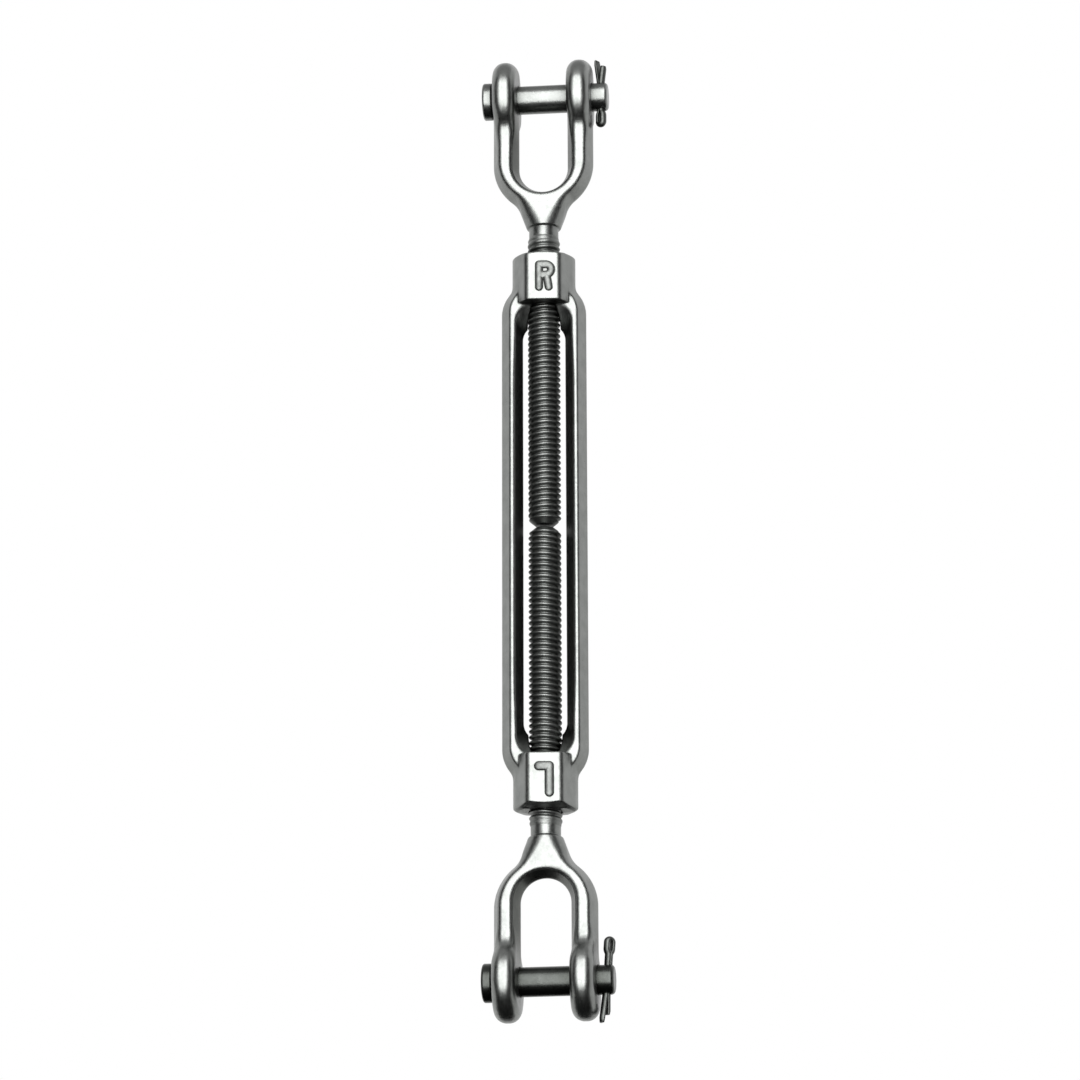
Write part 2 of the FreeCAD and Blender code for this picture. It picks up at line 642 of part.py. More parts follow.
def cotter_side(body, name, side, rise, reach):
    """Centre of the wire's flat side, from the top of the eye down to one leg's end."""
    sketch = sketch_on(body, "XZ_Plane", name)
    crown = amount(sketch, "eye_width / 2 - cotter_diameter / 2")
    throat = SIZE["eye_throat"]
    half_slit = SIZE["cotter_slit"] / 2
    foot = amount(sketch, rise)
    crown_height = foot + SIZE["eye_length"] - SIZE["eye_width"] / 2
    across = 2 * throat - (crown - half_slit)
    climb = math.sqrt((2 * throat) ** 2 - across**2)
    turn = math.degrees(math.atan2(climb, across))
    bend = SIZE["leg_bend"]
    bend_height = -SIZE["pin_diameter"] / 2
    spread = math.radians(SIZE["leg_spread"])
    low_x = half_slit + bend * (1 - math.cos(spread))
    low_y = bend_height - bend * math.sin(spread)
    end_y = -amount(sketch, reach)
    end_x = low_x + (low_y - end_y) * math.tan(spread)

    top, wall_end, apex = arc(sketch, 0, crown_height, crown, 0, 90, side)
    wall = line(sketch, side * crown, crown_height, side * crown, foot + climb)
    bulge, bulge_foot, bulge_wall = arc(
        sketch, crown - throat, foot + climb, throat, -turn, 0, side
    )
    hollow, hollow_bulge, hollow_leg = arc(
        sketch, half_slit + throat, foot, throat, 180 - turn, 180, side
    )
    leg = line(sketch, side * half_slit, foot, side * half_slit, bend_height)
    elbow, elbow_leg, elbow_end = arc(
        sketch, half_slit + bend, bend_height, bend, 180, 180 + SIZE["leg_spread"], side
    )
    prong = line(sketch, side * low_x, low_y, side * end_x, end_y)
    blend(sketch, top, wall_end, wall, START)
    blend(sketch, wall, END, bulge, bulge_wall)
    blend(sketch, bulge, bulge_foot, hollow, hollow_bulge)
    blend(sketch, hollow, hollow_leg, leg, START)
    blend(sketch, leg, END, elbow, elbow_leg)
    blend(sketch, elbow, elbow_end, prong, START)
    upright(sketch, leg)
    place_x(sketch, top, CENTRE, "0")
    place_x(sketch, top, apex, "0")
    place_y(sketch, top, CENTRE, f"{rise} + eye_length - eye_width / 2")
    drive(sketch, "Radius", (top,), "eye_width / 2 - cotter_diameter / 2")
    drive(sketch, "Radius", (bulge,), "eye_throat")
    drive(sketch, "Radius", (hollow,), "eye_throat")
    place_x(sketch, leg, START, f"{side} * cotter_slit / 2")
    place_y(sketch, leg, START, rise)
    place_y(sketch, leg, END, "-1 * pin_diameter / 2")
    drive(sketch, "Radius", (elbow,), "leg_bend")
    drive(sketch, "Angle", (prong,), f"-90 + {side} * leg_spread")
    place_y(sketch, prong, END, f"-1 * ( {reach} )")
    return sketch


def cotter_pin(label, rise, reach):
    """One length of wire; the leg towards -X is the longer one."""
    body = new_body(label)
    wire = sketch_on(body, "YZ_Plane", f"{label}_wire")
    apex = f"{rise} + eye_length - cotter_diameter / 2"
    radius = SIZE["cotter_diameter"] / 2
    height = amount(wire, apex)
    flat = line(wire, -radius, height, radius, height)
    round_side, right, left = arc(wire, 0, height, radius, 0, 180)
    join(wire, flat, END, round_side, right)
    join(wire, round_side, left, flat, START)
    place_x(wire, flat, START, "-1 * cotter_diameter / 2")
    place_x(wire, flat, END, "cotter_diameter / 2")
    place_y(wire, flat, START, apex)
    place_y(wire, flat, END, apex)
    place_y(wire, round_side, CENTRE, apex)
    for side, hand, length in ((1, "short", reach), (-1, "long", f"{reach} + leg_step")):
        route = cotter_side(body, f"{label}_{hand}_route", side, rise, length)
        half = feature(body, "AdditivePipe", f"{label}_{hand}_half", wire)
        half.Spine = (route, [])
    return body


# Assembly

HALF_TURN = FreeCAD.Rotation(X_AXIS, 180)
BODY_TURN = FreeCAD.Rotation(Z_AXIS, SIZE["body_turn"])
UPPER_TURN = FreeCAD.Rotation(Z_AXIS, SIZE["upper_jaw_turn"]).multiply(HALF_TURN)
COTTER_TURN = UPPER_TURN.multiply(FreeCAD.Rotation(Z_AXIS, SIZE["upper_cotter_turn"]))


def stand(body, height, rotation=FreeCAD.Rotation(), along=None):
    """Put a sub-part at a height on the screw axis, or that far along its clevis pin too."""
    body.Placement = FreeCAD.Placement(FreeCAD.Vector(0, 0, 0), rotation)
    body.setExpression("Placement.Base.z", cell(height))
    if along:
        turn = "upper_jaw_turn" if rotation is COTTER_TURN else "0"
        body.setExpression("Placement.Base.x", cell(f"( {along} ) * cos( {turn} * 1 deg )"))
        body.setExpression("Placement.Base.y", cell(f"( {along} ) * sin( {turn} * 1 deg )"))


cotter_place = f"{HALF_JAW} + cotter_offset"
stand(turnbuckle_body(), "pin_reach - body_drop", BODY_TURN)
stand(jaw("lower_jaw"), "0")
stand(jaw("upper_jaw"), "2 * pin_reach", UPPER_TURN)
stand(clevis_pin("lower_clevis_pin"), "0")
stand(clevis_pin("upper_clevis_pin"), "2 * pin_reach", UPPER_TURN)
stand(
    cotter_pin("lower_cotter_pin", "lower_cotter_rise", "lower_cotter_reach"),
    "0", along=cotter_place,
)
stand(
    cotter_pin("upper_cotter_pin", "upper_cotter_rise", "upper_cotter_reach"),
    "2 * pin_reach", COTTER_TURN, cotter_place,
)
doc.recompute()

# Check every object, then write one file for each sub-part

for item in doc.Objects:
    if "Invalid" in item.State or "Error" in item.State:
        raise RuntimeError(f"{item.Name} failed: {item.State}")

parts = [item for item in doc.Objects if item.TypeId == "PartDesign::Body"]
for part in parts:
    shape = part.Shape
    if shape.isNull() or not shape.isValid() or len(shape.Solids) != 1:
        raise RuntimeError(f"{part.Label} has no single valid solid")

os.makedirs("parts", exist_ok=True)
for part in parts:
    part.Shape.exportStep(f"parts/{part.Label}.step")
    box = part.Shape.BoundBox
    print(f"{part.Label}: {part.Shape.Volume:.1f} mm3, z {box.ZMin:.2f} to {box.ZMax:.2f}")
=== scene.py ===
import math

import bmesh
import bpy
import numpy as np
import openvdb
from mathutils import Matrix, Vector


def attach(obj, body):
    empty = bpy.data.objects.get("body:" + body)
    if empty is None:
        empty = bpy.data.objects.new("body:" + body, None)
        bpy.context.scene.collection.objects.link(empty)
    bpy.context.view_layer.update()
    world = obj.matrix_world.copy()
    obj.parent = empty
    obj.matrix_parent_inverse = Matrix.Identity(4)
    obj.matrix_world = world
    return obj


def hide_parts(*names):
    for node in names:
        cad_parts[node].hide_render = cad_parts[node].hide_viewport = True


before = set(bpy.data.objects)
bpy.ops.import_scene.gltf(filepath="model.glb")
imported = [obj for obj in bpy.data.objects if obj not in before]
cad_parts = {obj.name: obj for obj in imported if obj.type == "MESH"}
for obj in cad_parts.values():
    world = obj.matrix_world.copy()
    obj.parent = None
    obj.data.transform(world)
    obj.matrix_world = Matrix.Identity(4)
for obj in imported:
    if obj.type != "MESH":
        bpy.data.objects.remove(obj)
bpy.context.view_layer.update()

# Sizes are in millimetres, as on a drawing, and turn to metres when a mesh is made.

MM = 0.001

# Where each forging stands: height on the screw axis and turn about it, as in the frame

BODY_HEIGHT = 110.4
BODY_TURN = 5.3
UPPER_HEIGHT = 222.0
UPPER_TURN = 1.5

# Body: two bars, their shoulders, the opening and a hexagonal boss at each end.
# Heights count from the body's middle.

BAR_EDGE = 10.3
BAR_THICK = 5.15
BAR_HALF_DEPTH = 3.7
BAR_NOSE = 1.1
PARTING_HALF = 0.25
WEB_EDGE = 7.0
SHOULDER_RADIUS = 8.6
SHOULDER_START = 54.6
OPENING_END = 52.3
MOUTH_END = 57.7
CORNER_RADIUS = 4.1
MOUTH_RADIUS = 5.6
NOSE_ROUND = 0.4
NOSE_SPREAD = 0.1
SPREAD_START, SPREAD_END = 36, 52
BOSS_FLAT = 6.8
BOSS_SIDE = 7.1
BOSS_LAND = 7.85
BOSS_FOOT = 56.6
BOSS_END = 71.35
BOSS_CORNER_ROUND = 0.9
CROWN_HEIGHT = 1.6
CROWN_FOOT = 7.0
CROWN_RIM = 4.2
CORNER_RUN = 0.1
CORNER_TRIM = 7.85
CROWN_ROUND = 0.6
FRONT_FALL = 0.09
BORE = 4.02
BORE_LEAD = 0.5
BORE_START = OPENING_END - 6
BORE_EDGE = 0.12
BOSS_EDGE = 0.5
BOSS_FILLET = 0.4

# Jaw: the pin's axis runs along X through the origin, and the fork opens downwards

LEG_OUTER = 12.35
LEG_INNER = 6.0
LEG_HALF_DEPTH = 4.3
CROTCH = 24.6
JAW_SHOULDER = 17.5
JAW_SHOULDER_RADIUS = 12.5
THROAT_RADIUS = 6.5
NECK_END = 34.5
NECK_HALF = 4.1
NECK_FLARE = math.radians(20)
EYE_RADIUS = 9.5
EYE_BLEND = 5.5
PIN_BORE = 3.55
PIN_BORE_EDGE = 0.25
EAR_ROUND = 2.15
TIP_ROUND = 2.85
LEG_ROUND = 0.8
NECK_ROUND = 3.9
EAR_DRAFT = 0.05
LEG_DRAFT = 0.42
NECK_DRAFT = 0.05
PARTING_ROUND = 0.5
LEG_START, LEG_FULL = 3, 14
TIP_FULL = 8
NECK_EDGE = 0.5
BAND_FILLET = 0.25
BAND_EDGE = 0.3

# Screw: 18 threads to the inch, right-hand on the upper jaw and left-hand on the lower one

PITCH = 1.411
CREST = 3.97
THREAD_DEPTH = 0.8
BAND_RADIUS = 3.6
BAND_END = 36.3
RUN_OUT = 5.0
TIP = 110.6
TIP_TAPER = 1.4
TIP_CHAMFER = 1.6
THREAD_COLUMNS = 56
THREAD_ROWS = 8
THREAD_OVERLAP = 0.8

# Clevis pins and their cotters

PIN_RADIUS = 3.5
HEAD_RADIUS = 4.6
HEAD_FACE = -14.9
HEAD_SEAT = -12.4
PIN_END = 16.15
PIN_END_ROUND = 0.9
HEAD_ROUND = 0.55
HEAD_FILLET = 0.15
HOLE_EDGE = 0.2
COTTER_PLACE = 14.35
COTTER_HOLE = 1.1
WIRE_RADIUS = 0.95
HALF_SLIT = 0.04
COTTER_EYE_HALF = 1.45
COTTER_EYE_LENGTH = 4.4
EYE_THROAT = 1.3
LEG_BEND = 2.0
LEG_STEP = 2.0


# Shapes as distances: negative inside the metal, positive outside


def both(first, second, radius):
    """Metal that lies in both shapes, with the edge between them rounded."""
    a = first + radius
    b = second + radius
    return np.minimum(np.maximum(a, b), 0) + np.hypot(np.maximum(a, 0), np.maximum(b, 0)) - radius


def either(first, second, radius):
    """Metal that lies in one of two shapes, with a fillet where they meet."""
    return -both(-first, -second, radius)


def ease(value, start, end):
    """0 before start, 1 after end, with a smooth change between them."""
    share = np.clip((value - start) / (end - start), 0, 1)
    return share * share * (3 - 2 * share)


def body_outline(x, z):
    """Distance to the outer outline of bars and webs, seen from the front."""
    across = np.abs(x)
    along = np.abs(z)
    bend_x = BAR_EDGE - SHOULDER_RADIUS
    hollow_x = WEB_EDGE + SHOULDER_RADIUS
    rise = math.sqrt(4 * SHOULDER_RADIUS**2 - (hollow_x - bend_x) ** 2)
    hollow_z = SHOULDER_START + rise
    bend = np.hypot(across - bend_x, along - SHOULDER_START) - SHOULDER_RADIUS
    hollow = SHOULDER_RADIUS - np.hypot(across - hollow_x, along - hollow_z)
    on_bend = (across - bend_x) * rise > (along - SHOULDER_START) * (hollow_x - bend_x)
    upper = np.where(on_bend, bend, np.where(along < hollow_z, hollow, across - WEB_EDGE))
    return np.where(along < SHOULDER_START, across - BAR_EDGE, upper)


def opening(x, z, half_width, half_length, corner):
    """Distance to the rounded outline of the opening between the bars."""
    a = np.abs(x) - half_width + corner
    b = np.abs(z) - half_length + corner
    return np.minimum(np.maximum(a, b), 0) + np.hypot(np.maximum(a, 0), np.maximum(b, 0)) - corner


def body_shape(x, y, z):
    """The forged body in its own frame, with its middle at the origin."""
    depth = np.abs(y)
    along = np.abs(z)
    rise = np.maximum(depth - PARTING_HALF, 0)
    draft_rise = BAR_HALF_DEPTH - PARTING_HALF
    draft_run = (BAR_THICK - BAR_NOSE) / 2
    draft = draft_run / draft_rise
    squeeze = 1 / math.hypot(1, draft)
    outline = body_outline(x, z)
    outer = np.where(rise > 0, (outline + rise * draft) * squeeze, outline)
    share = rise / draft_rise
    spread = NOSE_SPREAD * ease(along, SPREAD_START, SPREAD_END)
    inner = squeeze * opening(
        x, z, BAR_EDGE - BAR_THICK + rise * (draft - spread),
        OPENING_END + share * (MOUTH_END - OPENING_END),
        CORNER_RADIUS + share * (MOUTH_RADIUS - CORNER_RADIUS),
    )
    bars = both(np.maximum(outer, -inner), depth - BAR_HALF_DEPTH, NOSE_ROUND)
    bars = np.maximum(bars, along - BOSS_END + CROWN_HEIGHT + CORNER_RUN)

    side = np.abs(x) * math.cos(math.pi / 6) + depth / 2 - BOSS_SIDE
    flats = both(depth - BOSS_FLAT, side, BOSS_CORNER_ROUND)
    flats = both(flats, np.abs(x) - BOSS_LAND, BOSS_CORNER_ROUND)
    radius = np.hypot(x, y)
    crown_slope = math.hypot(CROWN_HEIGHT, CROWN_FOOT - CROWN_RIM)
    level = along + FRONT_FALL * depth - BOSS_END + CROWN_HEIGHT
    crown = (radius - CROWN_FOOT) * CROWN_HEIGHT / crown_slope
    crown = crown + level * (CROWN_FOOT - CROWN_RIM) / crown_slope
    corner_slope = math.hypot(CORNER_RUN, CORNER_TRIM - CROWN_FOOT)
    corner = (radius - CROWN_FOOT) * CORNER_RUN / corner_slope
    corner = corner + level * (CORNER_TRIM - CROWN_FOOT) / corner_slope
    dome = both(both(crown, corner, CROWN_ROUND), along - BOSS_END, BOSS_EDGE)
    boss = both(both(flats, dome, BOSS_FILLET), BOSS_FOOT - along, BOSS_EDGE)
    metal = either(bars, boss, BOSS_FILLET)
    lead_in = (radius - BORE - BORE_LEAD + BOSS_END - along) * math.sqrt(0.5)
    hollow = np.minimum(np.maximum(radius - BORE, BORE_START - along), lead_in)
    return both(metal, -hollow, BORE_EDGE)


def jaw_outline(x, z):
    """Distance to the fork's outline, seen from the front: legs, shoulders, throat, neck and U."""
    across = np.abs(x)
    bend_x = LEG_OUTER - JAW_SHOULDER_RADIUS
    run_x = NECK_HALF + THROAT_RADIUS * math.cos(NECK_FLARE) - bend_x
    run_z = NECK_END + THROAT_RADIUS * math.sin(NECK_FLARE) - JAW_SHOULDER
    half_sum = run_z * math.cos(NECK_FLARE) - run_x * math.sin(NECK_FLARE)
    spare = run_x**2 + run_z**2 - (JAW_SHOULDER_RADIUS + THROAT_RADIUS) ** 2
    slope = half_sum - math.sqrt(half_sum**2 - spare)
    reach_x = run_x + slope * math.sin(NECK_FLARE)
    reach_z = run_z - slope * math.cos(NECK_FLARE)
    throat_x = bend_x + reach_x
    throat_z = JAW_SHOULDER + reach_z
    bend = np.hypot(across - bend_x, z - JAW_SHOULDER) - JAW_SHOULDER_RADIUS
    throat = THROAT_RADIUS - np.hypot(across - throat_x, z - throat_z)
    neck = (across - NECK_HALF) * math.cos(NECK_FLARE) + (z - NECK_END) * math.sin(NECK_FLARE)
    on_bend = (across - bend_x) * reach_z > (z - JAW_SHOULDER) * reach_x
    past = (z - throat_z) * math.cos(NECK_FLARE) > (across - throat_x) * math.sin(NECK_FLARE)
    outer = np.where(on_bend, bend, np.where(past, neck, throat))
    outer = np.where(z < JAW_SHOULDER, across - LEG_OUTER, outer)
    gap = LEG_INNER - np.hypot(x, np.maximum(z - CROTCH + LEG_INNER, 0))
    return outer, gap


def jaw_side(y, z):
    """Distance to the fork's outline, seen from the side: legs and round ears."""
    depth = np.abs(y)
    centre_y = LEG_HALF_DEPTH + EYE_BLEND
    centre_z = math.sqrt((EYE_RADIUS + EYE_BLEND) ** 2 - centre_y**2)
    ear = np.hypot(y, z) - EYE_RADIUS
    hollow = EYE_BLEND - np.hypot(depth - centre_y, z - centre_z)
    low = np.where(depth * centre_z > z * centre_y, ear, hollow)
    return np.where(z > centre_z, depth - LEG_HALF_DEPTH, low)


def jaw_shape(x, y, z):
    """The forged fork with its neck and the plain band where the screw starts."""
    outer, gap = jaw_outline(x, z)
    side = jaw_side(y, z)
    leg = ease(z, LEG_START, LEG_FULL)
    tip = ease(-z, 0, TIP_FULL)
    neck = ease(z, CROTCH + 1, NECK_END - 1)
    draft = EAR_DRAFT + (LEG_DRAFT - EAR_DRAFT) * leg + (NECK_DRAFT - LEG_DRAFT) * neck
    rounding = EAR_ROUND + (LEG_ROUND - EAR_ROUND) * leg + (NECK_ROUND - LEG_ROUND) * neck
    rounding = rounding + (TIP_ROUND - EAR_ROUND) * tip
    slope = draft * (np.hypot(y, PARTING_ROUND) - PARTING_ROUND)
    walls = (np.maximum(outer, gap) + slope) / np.hypot(1, draft)
    fork = both(walls, side, rounding)
    fork = both(fork, z - NECK_END, NECK_EDGE)
    band = both(np.hypot(x, y) - BAND_RADIUS, z - BAND_END - 1, BAND_EDGE)
    band = np.maximum(band, CROTCH + 4 - z)
    metal = either(fork, band, BAND_FILLET)
    return both(metal, PIN_BORE - np.hypot(y, z), PIN_BORE_EDGE)


def pin_shape(x, y, z):
    """A headed clevis pin along X with the cross hole for its cotter."""
    radius = np.hypot(y, z)
    shank = both(radius - PIN_RADIUS, x - PIN_END, PIN_END_ROUND)
    shank = np.maximum(shank, HEAD_SEAT - 1 - x)
    head = both(radius - HEAD_RADIUS, np.abs(x - (HEAD_FACE + HEAD_SEAT) / 2)
                - (HEAD_SEAT - HEAD_FACE) / 2, HEAD_ROUND)
    metal = either(shank, head, HEAD_FILLET)
    hole = np.hypot(x - COTTER_PLACE, y) - COTTER_HOLE
    return both(metal, -hole, HOLE_EDGE)


# Meshes


def place(height, turn, upside_down=False):
    """The move from a forging's own frame, in millimetres, to its place in metres."""
    flip = Matrix.Rotation(math.pi, 4, "X") if upside_down else Matrix.Identity(4)
    spin = Matrix.Rotation(math.radians(turn), 4, "Z")
    return Matrix.Scale(MM, 4) @ Matrix.Translation((0, 0, height)) @ spin @ flip


def new_piece(name, vertices, faces, where, material, inner_shade=None):
    """A smooth-shaded object, with its place written into its mesh."""
    mesh = bpy.data.meshes.new(name)
    mesh.from_pydata(vertices, [], faces)
    mesh.transform(where)
    mesh.materials.append(material)
    # A mask of painted shade, if given, is stored on the mesh as a value per vertex
    if inner_shade is not None:
        mesh.attributes.new("inner_shade", "FLOAT", "POINT").data.foreach_set("value", inner_shade)
    mesh.shade_smooth()
    piece = bpy.data.objects.new(name, mesh)
    bpy.context.scene.collection.objects.link(piece)
    return piece


def skin(shape, low, high, step):
    """Vertices on a shape's surface and the quads between them, from a grid of distances."""
    low = np.array(low, float)
    counts = np.ceil((np.array(high) - low) / step).astype(int) + 1
    axes = [low[n] + step * np.arange(counts[n]) for n in range(3)]
    values = np.empty(counts, np.float32)
    for n in range(counts[2]):
        x, y = np.meshgrid(axes[0], axes[1], indexing="ij")
        values[:, :, n] = shape(x, y, np.full_like(x, axes[2][n]))
    grid = openvdb.FloatGrid(4 * step)
    grid.copyFromArray(values)
    points, quads = grid.convertToQuads(0.0)
    points = points.astype(float) * step + low
    nudge = step * 0.02
    for _ in range(3):
        here = shape(*points.T)
        slope = np.stack([
            (shape(*(points + nudge * axis).T) - here) / nudge for axis in np.eye(3)
        ], axis=1)
        points -= here[:, None] * slope / np.maximum((slope**2).sum(1), 0.25)[:, None]
    return points, quads[:, ::-1]


def screw(hand):
    """Vertices and quads of a screwed shank whose rows of points follow the thread."""
    around = THREAD_COLUMNS
    rows = THREAD_ROWS
    start = BAND_END - THREAD_OVERLAP
    turns = int((TIP - start) / PITCH) + 2
    count = turns * rows
    column = np.arange(around)
    row = np.arange(count + 1)
    height = start - PITCH + row[None, :] * PITCH / rows + hand * column[:, None] * PITCH / around
    if hand < 0:
        height = height + PITCH
    height = np.clip(height, start, TIP)
    angle = np.repeat(2 * np.pi * column[:, None] / around, count + 1, axis=1)
    phase = (height - start) / PITCH - hand * angle / (2 * np.pi)
    groove = 0.5 - 0.5 * np.cos(2 * np.pi * phase)
    depth = THREAD_DEPTH * ease(height, BAND_END, BAND_END + RUN_OUT)
    band = BAND_RADIUS - 0.1 + (CREST - BAND_RADIUS + 0.1) * ease(height, BAND_END, BAND_END + 2)
    radius = band - depth * (1 - np.sqrt(np.maximum(1 - groove, 0)) ** 1.3)
    cone = CREST - TIP_CHAMFER * (height - TIP + TIP_TAPER) / TIP_TAPER
    radius = np.minimum(radius, cone)
    points = np.stack([radius * np.cos(angle), radius * np.sin(angle), height], axis=2)
    points = points.reshape(-1, 3).tolist()
    faces = []
    for c in range(around):
        beside = (c + 1) % around
        jump = hand * rows if beside == 0 else 0
        for r in range(count):
            corners = (r, r + jump, r + jump + 1, r + 1)
            if max(corners) > count or min(corners) < 0:
                continue
            faces.append((
                c * (count + 1) + corners[0], beside * (count + 1) + corners[1],
                beside * (count + 1) + corners[2], c * (count + 1) + corners[3],
            ))
    form = bmesh.new()
    for point in points:
        form.verts.new(point)
    form.verts.ensure_lookup_table()
    for face in faces:
        form.faces.new([form.verts[n] for n in face])
    bmesh.ops.remove_doubles(form, verts=form.verts, dist=1e-4)
    bmesh.ops.dissolve_degenerate(form, edges=form.edges, dist=1e-4)
    loose = [v for v in form.verts if not v.link_faces]
    bmesh.ops.delete(form, geom=loose, context="VERTS")
    rims = [e for e in form.edges if e.is_boundary]
    bmesh.ops.holes_fill(form, edges=rims, sides=0)
    bmesh.ops.recalc_face_normals(form, faces=form.faces)
    form.verts.index_update()
    vertices = [tuple(v.co) for v in form.verts]
    quads = [[v.index for v in f.verts] for f in form.faces]
    form.free()
    return vertices, quads


def bend_points(centre, radius, first, last, steps=10):
    """Points on an arc in the cotter's plane, from one angle to another."""
    angles = np.linspace(first, last, steps)
    return [(centre[0] + radius * math.cos(a), centre[1] + radius * math.sin(a)) for a in angles]


def cotter_route(foot, reach, spread, side):
    """The wire's flat side from the top of the eye down to a leg's end, on one side."""
    crown = COTTER_EYE_HALF - WIRE_RADIUS
    crown_height = foot + COTTER_EYE_LENGTH - COTTER_EYE_HALF
    across = 2 * EYE_THROAT - (crown - HALF_SLIT)
    climb = math.sqrt((2 * EYE_THROAT) ** 2 - across**2)
    turn = math.atan2(climb, across)
    route = bend_points((0, crown_height), crown, math.pi / 2, 0)
    route += bend_points((crown - EYE_THROAT, foot + climb), EYE_THROAT, 0, -turn)
    route += bend_points((HALF_SLIT + EYE_THROAT, foot), EYE_THROAT, math.pi - turn, math.pi)
    route += [(HALF_SLIT, foot - (foot + PIN_RADIUS) * n / 6) for n in range(1, 6)]
    elbow = (HALF_SLIT + LEG_BEND, -PIN_RADIUS)
    route += bend_points(elbow, LEG_BEND, math.pi, math.pi + spread, 5)
    low_x, low_z = route[-1]
    drop = low_z + reach
    route += [(low_x + drop * n / 6 * math.tan(spread), low_z - drop * n / 6)
              for n in range(1, 7)]
    return [(side * x, z) for x, z in route]


def cotter(foot, reach, spread):
    """One length of half-round wire, bent into an eye and two legs."""
    long_side = cotter_route(foot, reach + LEG_STEP, spread, -1)[::-1]
    route = long_side + cotter_route(foot, reach, spread, 1)[1:]
    route = [p for n, p in enumerate(route) if n == 0 or math.dist(p, route[n - 1]) > 1e-4]
    arc = [math.pi * n / 10 for n in range(11)]
    section = [(WIRE_RADIUS * math.cos(a), WIRE_RADIUS * math.sin(a)) for a in arc]
    section += [(-0.3 * WIRE_RADIUS, 0), (0.3 * WIRE_RADIUS, 0)]
    vertices = []
    last = len(route) - 1
    for n, (x, z) in enumerate(route):
        before = route[max(n - 1, 0)]
        after = route[min(n + 1, last)]
        along = Vector((after[0] - before[0], 0, after[1] - before[1])).normalized()
        out = Vector((-along.z, 0, along.x))
        size = 0.8 if n in (0, last) else 1.0
        for wide, high in section:
            vertices.append(Vector((x, 0, z)) + size * high * out + Vector((0, size * wide, 0)))
    count = len(section)
    faces = []
    for n in range(last):
        for k in range(count):
            k2 = (k + 1) % count
            faces.append((n * count + k, n * count + k2, (n + 1) * count + k2, (n + 1) * count + k))
    faces.append(tuple(range(count)))
    faces.append(tuple(last * count + k for k in reversed(range(count))))
    return vertices, faces


def stroke(x, z, start, end):
    """Distance to a straight stroke of a letter, before its thickness is taken off."""
    run = (end[0] - start[0], end[1] - start[1])
    share = ((x - start[0]) * run[0] + (z - start[1]) * run[1]) / (run[0]**2 + run[1]**2)
    share = np.clip(share, 0, 1)
    return np.hypot(x - start[0] - share * run[0], z - start[1] - share * run[1])


# Raised letters that show the hand of each thread

MARK_PROUD = 0.55
MARK_SINK = 0.3
R_STEM, R_LOW, R_HIGH, R_WAIST = -1.42, -3.0, 2.85, 0.15
R_BOWL_START, R_BOWL_MIDDLE, R_BOWL_RADIUS = 0.2, 1.5, 1.35
R_LEG_TOP, R_LEG_FOOT = 0.4, 0.95
R_HALF_WIDTH = 1.0
L_SIDE, L_HALF_HEIGHT, L_HALF_WIDTH = 1.25, 3.2, 1.12


def raised(flat_distance, half_width, y):
    """A bead of half-oval section standing on the boss's front flat."""
    height = -BOSS_FLAT - y
    oval = np.hypot(flat_distance, height * half_width / MARK_PROUD) - half_width
    return np.maximum(oval * MARK_PROUD / half_width, -MARK_SINK - height)


def right_mark(x, y, z):
    """A plain capital R: stem, bowl and leg."""
    stem = stroke(x, z, (R_STEM, R_LOW), (R_STEM, R_HIGH))
    arc = np.hypot(np.maximum(x - R_BOWL_START, 0), z - R_BOWL_MIDDLE) - R_BOWL_RADIUS
    arc = np.abs(arc)
    top = stroke(x, z, (R_STEM, R_HIGH), (R_BOWL_START, R_HIGH))
    middle = stroke(x, z, (R_STEM, R_WAIST), (R_BOWL_START, R_WAIST))
    bowl = np.where(x > R_BOWL_START, arc, np.minimum(top, middle))
    leg = stroke(x, z, (R_LEG_TOP, R_WAIST), (R_LEG_FOOT, R_LOW))
    return raised(np.minimum(np.minimum(stem, bowl), leg), R_HALF_WIDTH, y)


def left_mark(x, y, z):
    """A plain capital L."""
    stem = stroke(x, z, (-L_SIDE, -L_HALF_HEIGHT), (-L_SIDE, L_HALF_HEIGHT))
    foot = stroke(x, z, (-L_SIDE, -L_HALF_HEIGHT), (L_SIDE, -L_HALF_HEIGHT))
    return raised(np.minimum(stem, foot), L_HALF_WIDTH, y)


# Finishes


def linear(code):
    """A colour given as sRGB hex, in linear light."""
    values = [int(code[i:i + 2], 16) / 255 for i in (1, 3, 5)]
    return [v / 12.92 if v < 0.04045 else ((v + 0.055) / 1.055) ** 2.4 for v in values] + [1.0]


def add_node(tree, kind, values=None, **settings):
    """Add a node; a value is a number for its socket, or another node's output wired to it."""
    made = tree.nodes.new(kind)
    for name, setting in settings.items():
        setattr(made, name, setting)
    for socket, value in (values or {}).items():
        if isinstance(value, bpy.types.NodeSocket):
            tree.links.new(value, made.inputs[socket])
        else:
            made.inputs[socket].default_value = value
    return made


# Crystals of zinc this thick grow 2 to 4 mm wide, so the patches are drawn at real size.
# The coat's own grain is about 0.1 mm, less than half a pixel of the render, so it is drawn
# at 0.45 mm, the finest that shows. Ripples are the waves left as melted zinc ran off.
PATCH_SIZE = 3.2
PATCH_START, PATCH_FULL = 0.35, 0.68
GRAIN_SIZE = 0.45
RIPPLE_SIZE = 1.6
RIPPLE_HEIGHT = 0.03
# Painted shade in corners, recesses and between close faces is darkest where less than a fifth
# of the space within this reach is open, and fades out to nothing where nearly all of it is
PAINTED_SHADE_REACH = 14.0
PAINTED_SHADE_FULL, PAINTED_SHADE_GONE = 0.2, 0.95
# The near-black colour of that painted shade
PAINTED_SHADE_COLOUR = "#2e302d"
# The fork's inner faces between the ears, which a value on each vertex marks, get a duller grey as
# painted shade
INNER_SHADE_GREY = "#5c5e5b"


